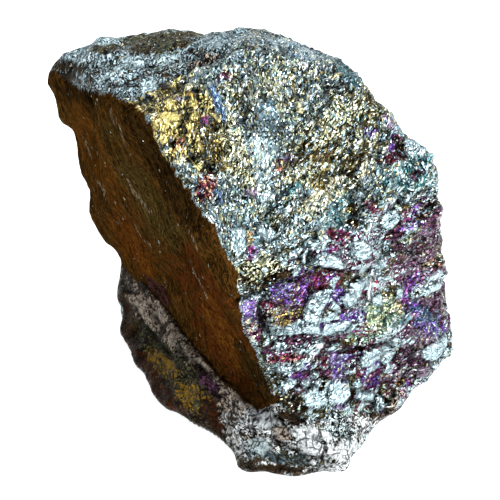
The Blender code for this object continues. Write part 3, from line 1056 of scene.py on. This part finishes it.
front_relief = facets(plates, PLATE_LEVEL, 0.10, 121) + facets(small, 0.06, 0.16, 131)
front_relief -= HOLLOW_DEPTH * eased(hollow_plate, 1)
front_relief -= CRACK_DEPTH * cracked * wall_line(plates, CRACK_WIDTH)
front_relief += 0.15 * clouds(soft, 1.5, 141, 3)
smooth_relief = PLATE_STANDS + 0.08 * clouds(soft, 1.2, 271, 3)
front_relief += eased(on_plate, 1) * (smooth_relief - front_relief)
print("relief of the near face, in mm:", np.round(np.percentile(front_relief, [1, 50, 99]), 2))

# %% Relief of the left face, the crown and the foot
QUARTZ_BLOCK = (2.6, 2.0, 2.0)  # mm
CRUST_GRAIN = (1.6, 1.3, 1.2)  # mm
SCRATCH = (9.0, 0.7, 3.0)  # mm
STREAK = (6.0, 0.5, 2.0)  # mm

scratches = clouds(soft @ LEFT_GRAIN.T / SCRATCH, 1.0, 151, 2)
streaks = clouds(bent @ LEFT_GRAIN.T / STREAK, 1.0, 331, 3)
left_relief = 0.12 * scratches + 0.20 * clouds(soft, 7.0, 161, 5) + 0.12 * clouds(soft, 1.2, 171, 2)

crust = grains(bent, np.eye(3), CRUST_GRAIN, 181)
crown_relief = facets(crust, 0.14, 0.20, 191) + 0.25 * clouds(soft, 3.0, 201, 4)
pit = step(0.75, 0.9, chance(crust[0], 8)) * step(0.0, 0.35, crust[2])
crown_relief -= 0.5 * facing * eased(pit, 1)

left_relief += (1 - facing) * (0.6 * crown_relief - left_relief)

blocks = grains(bent, np.eye(3), QUARTZ_BLOCK, 211)
foot_relief = eased(facets(blocks, 0.25, 0.25, 221) + 0.25 * clouds(soft, 2.5, 231, 4), 3)

reliefs = {
    "front": front_relief,
    "left": left_relief,
    "crown": crown_relief,
    "foot": foot_relief,
}
total_weight = sum(weights.values())
relief = sum(weights[name] * height for name, height in reliefs.items()) / total_weight
relief -= split_depth
relief *= step(0.1, 2.0, soft[:, 2])
finished = soft + normals * relief[:, None]
finished[:, 2] = np.maximum(finished[:, 2], 0)
place_skin(finished)
skin.data.shade_smooth()
print("relief of the whole, in mm:", np.round([relief.min(), relief.max()], 2))

# %% [markdown]
# ## Which way the grain runs
#
# Under the plates the mineral has a finer grain, left by the shearing. It runs up to the right
# on the near face and down the slide on the left face, and quartz has none. The finishes draw
# their grains in places that are turned this way. The places are taken from the finished
# relief, so that a grain goes round the edge of a plate and isn't smeared down its side.

# %% Which way the grain runs
GRAIN_STRETCH = np.array([1.7, 0.8, 1.0])  # how a chip is drawn out along the grain
STEEP_GRAIN = axes((0.05, 0.75, 0.65), (0.30, -0.59, 0.75))
steep = upper & (seen[:, 0] + 0.25 * seen[:, 1] + 10 * edge_noise < 325)


def along_grain(turn, stretch=(1, 1, 1)):
    """Places turned to the grain's axes, and bent by clouds, so that the grain runs in curves."""
    curves = [clouds(finished, 2.2, seed, 2) for seed in (301, 311, 321)]
    return (finished + 0.5 * np.stack(curves, axis=-1)) @ turn.T * stretch


# Each face takes one way of the grain for all its corners, so that no face blends two ways.
way_of_point = np.zeros(len(soft), int)
for way, chosen in enumerate((upper, steep, on_left, on_foot), start=1):
    way_of_point[chosen] = way
ways = [along_grain(turn) for turn in (LOWER_GRAIN, UPPER_GRAIN, STEEP_GRAIN, LEFT_GRAIN)]
ways.append(along_grain(np.eye(3), GRAIN_STRETCH))
grain_place = np.array(ways)[way_of_point[quads[:, :1]], quads]
print("points with steep grain:", int(steep.sum()))

# %% What the finishes read


def keep(name, values):
    """Stores values for the finishes to read: a number or colour a point, or a place a corner."""
    if values.ndim == 1:
        attribute = skin.data.attributes.new(name, "FLOAT", "POINT")
        attribute.data.foreach_set("value", values.astype(np.float32))
        return
    if values.ndim == 3:
        attribute = skin.data.attributes.new(name, "FLOAT_VECTOR", "CORNER")
        attribute.data.foreach_set("vector", values.astype(np.float32).ravel())
        return
    attribute = skin.data.attributes.new(name, "FLOAT_COLOR", "POINT")
    opaque = np.concatenate([values, np.ones((len(values), 1))], axis=1)
    attribute.data.foreach_set("color", opaque.astype(np.float32).ravel())


# How much darker the cracks are, as painted shade in them, and the walls of the quartz blocks
# and the gold grains, and how far streaks and grains vary in brightness.
CRACK_SHADE = 0.55
WALL_DARK = 0.6
STREAK_SPREAD = 0.4
GRAIN_SPREAD = 0.35
GOLD_SPREAD = 1.0

in_crack = cracked * weights["front"] * wall_line(plates, 0.15)
# Painted shade: the colour is darkened along the cracks between plates, where the relief sinks them.
painted_shade_and_tone = 1 - CRACK_SHADE * in_crack
painted_shade_and_tone *= 1 + STREAK_SPREAD * weights["left"] * streaks
in_quartz = (winner == 3) & (finish[:, 8] >= STRAY_SHARES["quartz at the right"])
painted_shade_and_tone *= 1 - WALL_DARK * in_quartz * wall_line(blocks, 0.16)
grain_spread = np.where(in_gold, GOLD_SPREAD, GRAIN_SPREAD) * weights["front"]
painted_shade_and_tone *= 1 + grain_spread * (chance(small[0], 17) - 0.5) * (on_plate == 0)
painted_shade_and_tone *= 1 - WALL_DARK * in_gold * wall_line(small, 0.12) * (on_plate == 0)
picked = (1 - rough) * (0.03 + 0.9 * hollow) + rough * share
keep("plate_colour", finish[:, 0:3])
keep("hollow_colour", finish[:, 3:6])
keep("hollow", np.clip(picked + 0.15 * rough * clouds(soft, 2.5, 261) + in_crack, 0, 1))
keep("rough", np.clip(rough + 0.6 * hollow * (1 - rough), 0, 1))
keep("grain_place", grain_place)
keep("mixed", finish[:, 8])
# Painted shade of cracks, splits and plate rims, with the own tone of streaks and grains.
keep("painted_shade_and_tone", painted_shade_and_tone * plate_rim_shade * split_shade)
print("the skin has", len(skin.data.vertices), "points")

# %% [markdown]
# ## Making a material
#
# Every finish below is a small net of nodes. One function adds a node, sets its options, gives
# its sockets their values or links, and hands it back, so that a finish reads as a recipe.

# %% Helpers for materials


def put(material, kind, inputs=(), stops=(), **options):
    """Adds a shader node with its options, its inputs as values or links, and colour stops."""
    tree = material.node_tree
    node = tree.nodes.new("ShaderNode" + kind)
    for name, value in options.items():
        setattr(node, name, value)
    for socket, value in dict(inputs).items():
        if isinstance(value, bpy.types.NodeSocket):
            tree.links.new(value, node.inputs[socket])
        else:
            node.inputs[socket].default_value = value
    for index, (position, colour) in enumerate(stops):
        elements = node.color_ramp.elements
        stop = elements[index] if index < 2 else elements.new(position)
        stop.position, stop.color = position, linear(colour) + [1]
    return node


def new_material(name, values):
    """A material and its shader, which is joined to the output and gets these values."""
    material = bpy.data.materials.new(name)
    material.use_nodes = True
    shader = material.node_tree.nodes["Principled BSDF"]
    for socket, value in values.items():
        shader.inputs[socket].default_value = value
    return material, shader


print("the colour of milk in linear light:", np.round(linear(COLOURS["milk"]), 2))

# %% [markdown]
# ## Broken grains
#
# All four finishes are broken mineral, so they share one recipe. Grains of three sizes, chips,
# flakes and sparks, each lean their own way and have their own brightness, and they take the
# plate's or the hollow's colour by their own chance. The leaning makes sparkle, as no two
# neighbours send the light the same way, and the brightness paints more of it into the colour:
# painted highlights and shade on the grains, besides their own tone. How strong all this is
# differs from patch to patch and from mineral to mineral.

# %% Broken grains
STRAYS = ("#DCD6AE", "#AAC1AA", "#A0BAC8", "#665D3C", "#56747A", "#DCE8EA")
STORED = ("plate_colour", "hollow_colour", "hollow", "rough", "mixed", "painted_shade_and_tone", "grain_place")
MIDDLE = (0.5, 0.5, 0.5)  # the mean of a grain's colour, which gives it its chances and its lean
WAVE_LENGTH = 0.7  # mm
CRACKED_PLACES = 2.5  # mm across
CALM_LIGHT = 0.88  # brightness of all grains where the patch is smooth


def broken_grains(m, shader, sizes, leans, light, waves, crack, stretch=GRAIN_STRETCH):
    """Colour and normal from grains of three sizes; leans and light say how far they vary.

    Waves is how far the grain is bent, in mm, and crack is the distance between hairlines, or
    zero where there are none.
    """
    stored = {name: put(m, "Attribute", attribute_name=name).outputs for name in STORED}
    place, roughness = stored["grain_place"]["Vector"], stored["rough"]["Fac"]
    wobble = put(m, "TexNoise", {"Vector": place, "Scale": 1 / WAVE_LENGTH}).outputs["Color"]
    centred = put(m, "VectorMath", {0: wobble, 1: MIDDLE}, operation="SUBTRACT").outputs[0]
    bent_by = {0: centred, 1: (waves, waves, waves), 2: place}
    wavy = put(m, "VectorMath", bent_by, operation="MULTIPLY_ADD").outputs[0]
    drawn_out = {"Vector": wavy, "Scale": stretch}
    along = put(m, "Mapping", drawn_out, vector_type="TEXTURE").outputs[0]
    cells = [{"Vector": along, "Scale": 1 / size} for size in sizes]
    colours = [put(m, "TexVoronoi", cell).outputs["Color"] for cell in cells]
    chips, flakes, sparks = [put(m, "SeparateColor", {0: c}).outputs for c in colours]

    # Hairline cracks, in some places only.
    cell = {"Vector": along, "Scale": 1 / (crack or 1)}
    wall = put(m, "TexVoronoi", cell, feature="DISTANCE_TO_EDGE").outputs["Distance"]
    line = put(m, "MapRange", {"Value": wall, "From Min": 0.02, "From Max": 0.08, "To Min": 0.1})
    some = put(m, "TexNoise", {"Vector": place, "Scale": 1 / CRACKED_PLACES}).outputs["Fac"]
    somewhere = put(m, "MapRange", {"Value": some, "From Min": 0.50, "From Max": 0.60})
    hairline = put(m, "Mix", {0: somewhere.outputs[0], 2: line.outputs[0], 3: 1.0}).outputs[0]

    # A grain is hollow if its own chance is below the stored share.
    own = put(m, "Mix", {0: 0.5, 2: flakes[0], 3: sparks[0]}).outputs[0]
    below = put(m, "Math", {0: stored["hollow"]["Fac"], 1: own}, operation="SUBTRACT")
    is_hollow = put(m, "MapRange", {"Value": below.outputs[0], "From Min": -0.03, "From Max": 0.03})
    two = {6: stored["plate_colour"]["Color"], 7: stored["hollow_colour"]["Color"]}
    colour = put(m, "Mix", {0: is_hollow.outputs[0], **two}, data_type="RGBA").outputs[2]

    # A few grains take a stray colour in its place.
    stops = [(i / len(STRAYS), stray) for i, stray in enumerate(STRAYS)]
    other = put(m, "ValToRGB", {0: flakes[2]}, stops)
    other.color_ramp.interpolation = "CONSTANT"
    chosen = put(m, "Mix", {0: 0.5, 2: flakes[1], 3: sparks[1]}).outputs[0]
    is_stray = put(m, "Math", {0: chosen, 1: stored["mixed"]["Fac"]}, operation="LESS_THAN")
    two = {6: colour, 7: other.outputs[0]}
    colour = put(m, "Mix", {0: is_stray.outputs[0], **two}, data_type="RGBA").outputs[2]

    # Brightness of each grain, less varied where the patch is smooth: partly its own tone, partly
    # painted sparkle, the highlights and shade of grains that catch or miss the light.
    cracks = {0: stored["painted_shade_and_tone"]["Fac"], 1: hairline if crack else 1.0}
    brightness = put(m, "Math", cracks, operation="MULTIPLY").outputs[0]
    for chances, (low, high) in zip((chips[0], flakes[1], sparks[0]), light):
        varied = put(m, "MapRange", {"Value": chances, "To Min": low, "To Max": high}).outputs[0]
        calmed = put(m, "Mix", {0: roughness, 2: CALM_LIGHT, 3: varied}).outputs[0]
        brightness = put(m, "Math", {0: brightness, 1: calmed}, operation="MULTIPLY").outputs[0]
    shaded = put(m, "VectorMath", {0: colour, "Scale": brightness}, operation="SCALE")
    m.node_tree.links.new(shaded.outputs[0], shader.inputs["Base Color"])

    # Each grain leans its own way, more where the patch is rough.
    normal = put(m, "NewGeometry").outputs["Normal"]
    for grain, lean in zip(colours, leans):
        way = put(m, "VectorMath", {0: grain, 1: MIDDLE}, operation="SUBTRACT").outputs[0]
        amount = put(m, "Math", {0: roughness, 1: lean}, operation="MULTIPLY").outputs[0]
        leaning = {0: way, 1: amount, 2: normal}
        normal = put(m, "VectorMath", leaning, operation="MULTIPLY_ADD").outputs[0]
    unit = put(m, "VectorMath", {0: normal}, operation="NORMALIZE")
    m.node_tree.links.new(unit.outputs[0], shader.inputs["Normal"])


print("stray colours:", len(STRAYS))

# %% [markdown]
# ## Tarnished bornite
#
# Bornite is a metal to the eye: it reflects in its own colour. Its fresh break is copper-brown,
# but a film of oxide colours the reflection, as oil does on water. Its grains are a quarter to
# one millimetre across.

# %% Tarnished bornite
metal = {"Metallic": 0.9, "Roughness": 0.30}
bornite, shader = new_material("tarnished_bornite", metal)
broken_grains(
    bornite,
    shader,
    sizes=(0.9, 0.42, 0.22),
    leans=(0.2, 0.7, 1.4),
    # Sparks run from nearly black to twice their colour: painted highlights and shade.
    light=((0.95, 1.05), (0.6, 1.35), (0.06, 2.05)),
    waves=0.5,
    crack=0.95,
)
print(bornite.name, "has", len(bornite.node_tree.nodes), "nodes")

# %% [markdown]
# ## Iron-stained joint face
#
# Old joints fill with limonite, an earthy iron oxide. It is matt and dark brown with rusty
# patches, and small grains of ore shine through where it is thin. Its colours are darkened
# further for the shade that the left face lies in: partly painted shade.

# %% Iron-stained face
earth = {"Roughness": 0.7, "Specular IOR Level": 0.0}  # earthy, so no gloss at all
iron, shader = new_material("iron_stained_joint", earth)
broken_grains(
    iron,
    shader,
    sizes=(0.8, 0.36, 0.2),
    leans=(0.2, 0.4, 0.7),
    light=((0.85, 1.15), (0.7, 1.3), (0.45, 1.6)),
    waves=0.4,
    crack=0,
    stretch=(3.0, 0.7, 1.0),
)
print(iron.name, "has", len(iron.node_tree.nodes), "nodes")

# %% [markdown]
# ## Weathered crust
#
# The crown has lain bare for long. Its ore has gone to a grey, silvery crust with white-blue
# grains, brown-olive humps between them and dark pits.

# %% Weathered crust
dusty_metal = {"Metallic": 0.5, "Roughness": 0.4, "Specular IOR Level": 0.1}  # hardly any gloss
crust_finish, shader = new_material("weathered_crust", dusty_metal)
broken_grains(
    crust_finish,
    shader,
    sizes=(0.9, 0.42, 0.22),
    leans=(0.3, 0.8, 1.4),
    # Sparks run from nearly black to twice their colour: painted highlights and shade.
    light=((0.8, 1.1), (0.4, 1.45), (0.06, 2.3)),
    waves=0.5,
    crack=1.2,
)
print(crust_finish.name, "has", len(crust_finish.node_tree.nodes), "nodes")

# %% [markdown]
# ## Milky quartz
#
# Vein quartz is full of tiny flaws, so it looks white rather than clear, and iron water leaves
# ochre and brown in its seams.

# %% Milky quartz
# It is broken and dusty, so it has hardly any gloss.
mineral = {"IOR": 1.54, "Roughness": 0.4, "Specular IOR Level": 0.04}
quartz, shader = new_material("milky_quartz", mineral)
broken_grains(
    quartz,
    shader,
    sizes=(1.2, 0.5, 0.25),
    leans=(0.4, 0.8, 1.2),
    light=((0.85, 1.1), (0.55, 1.2), (0.15, 1.6)),
    waves=0.25,
    crack=1.6,
)
print(quartz.name, "has", len(quartz.node_tree.nodes), "nodes")

# %% Give each face its finish
for finish_material in (bornite, iron, crust_finish, quartz):
    skin.data.materials.append(finish_material)
of_points = np.array([zones[name] for name in GROUND])
of_faces = of_points[:, quads].mean(axis=2).argmax(axis=0)
skin.data.polygons.foreach_set("material_index", of_faces.astype(np.int32))
print("faces of each finish:", dict(zip(GROUND, np.bincount(of_faces).tolist())))

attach(skin, "root")
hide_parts("bornite_specimen")

# %% [markdown]
# ## Floor and light
#
# The photograph has a plain white ground and soft light from the upper right. A large lamp to
# the right gives the sparkle, together with the painted sparkle of the grains, a dim sky fills
# the shade, and the floor is a plain white sheet.

# %% Floor and light
FLOOR_HALF = 3.0  # metres
LIT_POINT = np.array([0, 0, 20.0])  # mm
floor = new_object(
    "floor",
    np.array([(-1, -1, 0), (1, -1, 0), (1, 1, 0), (-1, 1, 0)]) * FLOOR_HALF / MM,
    [(0, 1, 2, 3)],
)
lit_white = {"Base Color": linear("#F4F4F4") + [1], "Roughness": 0.9}
lit_white.update({"Emission Color": (1, 1, 1, 1), "Emission Strength": 0.7})
paper, _ = new_material("white_paper", lit_white)
floor.data.materials.append(paper)

world = bpy.data.worlds.new("sky")
world.use_nodes = True
world.node_tree.nodes["Background"].inputs["Color"].default_value = (0.92, 0.96, 1.0, 1)
world.node_tree.nodes["Background"].inputs["Strength"].default_value = 0.65
bpy.context.scene.world = world


def soft_lamp(name, way, distance, size, power):
    """A square lamp at a distance from the stone along a direction, turned towards it."""
    lamp = bpy.data.objects.new(name, bpy.data.lights.new(name, "AREA"))
    bpy.context.scene.collection.objects.link(lamp)
    way = np.array(way) / np.linalg.norm(way)
    lamp.location = (LIT_POINT + way * distance) * MM
    lamp.rotation_euler = Matrix(axes((1, 0.01, 0), way).T.tolist()).to_euler()
    lamp.data.size = size * MM
    lamp.data.energy = power
    return lamp


soft_lamp("key_lamp", (0.76, -0.32, 0.56), 380, 240, 1.45)
soft_lamp("back_lamp", (-0.1, 0.5, 0.86), 420, 240, 0.7)
bpy.context.scene.view_settings.view_transform = "Standard"
